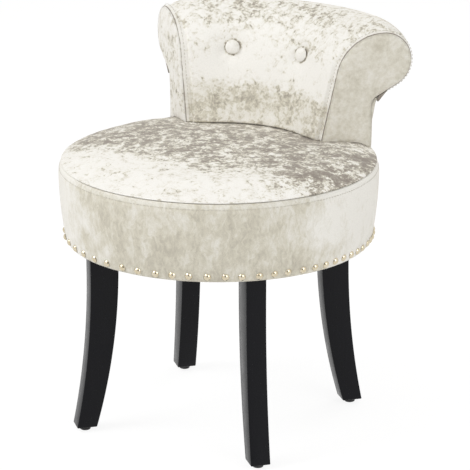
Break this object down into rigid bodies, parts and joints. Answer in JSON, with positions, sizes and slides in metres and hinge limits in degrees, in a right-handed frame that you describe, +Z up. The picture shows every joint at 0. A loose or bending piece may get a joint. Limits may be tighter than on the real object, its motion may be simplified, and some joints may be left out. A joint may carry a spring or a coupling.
{
  "type": "vanity stool",
  "caption": "Round upholstered stool on flared wooden legs, with a low curved back that rolls over at its top, covered buttons and a nailhead border.",
  "frame": {"origin": "on the floor, below the middle of the whole stool's bounding box", "axes": "+Z up, -Y the front that the sitter faces, +Y the back, +X the sitter's left as they sit facing the front"},
  "size_m": [0.45, 0.5145, 0.5661],
  "materials": {
    "velvet": "satin",
    "black_wood": "satin",
    "nail_brass": "polished",
    "plywood": "matte",
    "beech": "matte",
    "hardboard": "matte",
    "foam": "matte",
    "thread": "matte",
    "dust_cloth": "matte",
    "steel": "satin",
    "glide_plastic": "matte",
    "toggle_plastic": "matte"
  },
  "bodies": {
    "root": {"back_bottom_rail": "plywood", "back_button_left": "velvet", "back_button_right": "velvet", "back_end_cover_left": "velvet", "back_end_cover_right": "velvet", "back_end_pad_left": "foam", "back_end_pad_right": "foam", "back_end_rib_left": "plywood", "back_end_rib_right": "plywood", "back_foam": "foam", "back_front_panel": "plywood", "back_inner_cover": "velvet", "back_mid_rib_centre": "plywood", "back_mid_rib_left": "plywood", "back_mid_rib_right": "plywood", "back_mount_bolts": "steel", "back_mount_rail": "plywood", "back_mount_tee_nuts": "steel", "back_mount_washers": "steel", "back_outer_cover": "velvet", "back_rear_panel": "hardboard", "back_rib_screws": "steel", "back_roll_foam": "foam", "back_roll_rail": "plywood", "base_screws": "steel", "button_toggles": "toggle_plastic", "button_twine": "thread", "deck_screws": "steel", "dust_cover": "dust_cloth", "dust_cover_staples": "steel", "glide_back_left": "glide_plastic", "glide_back_right": "glide_plastic", "glide_front_left": "glide_plastic", "glide_front_right": "glide_plastic", "leg_back_left": "black_wood", "leg_back_right": "black_wood", "leg_dowels": "beech", "leg_front_left": "black_wood", "leg_front_right": "black_wood", "leg_hanger_bolts": "steel", "leg_tee_nuts": "steel", "nailhead_trim": "nail_brass", "seat_base_board": "plywood", "seat_block_back_left": "plywood", "seat_block_back_right": "plywood", "seat_block_front_left": "plywood", "seat_block_front_right": "plywood", "seat_deck": "plywood", "seat_foam": "foam", "seat_hoop": "plywood", "seat_side_cover": "velvet", "seat_side_padding": "foam", "seat_top_cover": "velvet", "seat_topstitch": "thread"}
  },
  "joints": []
}
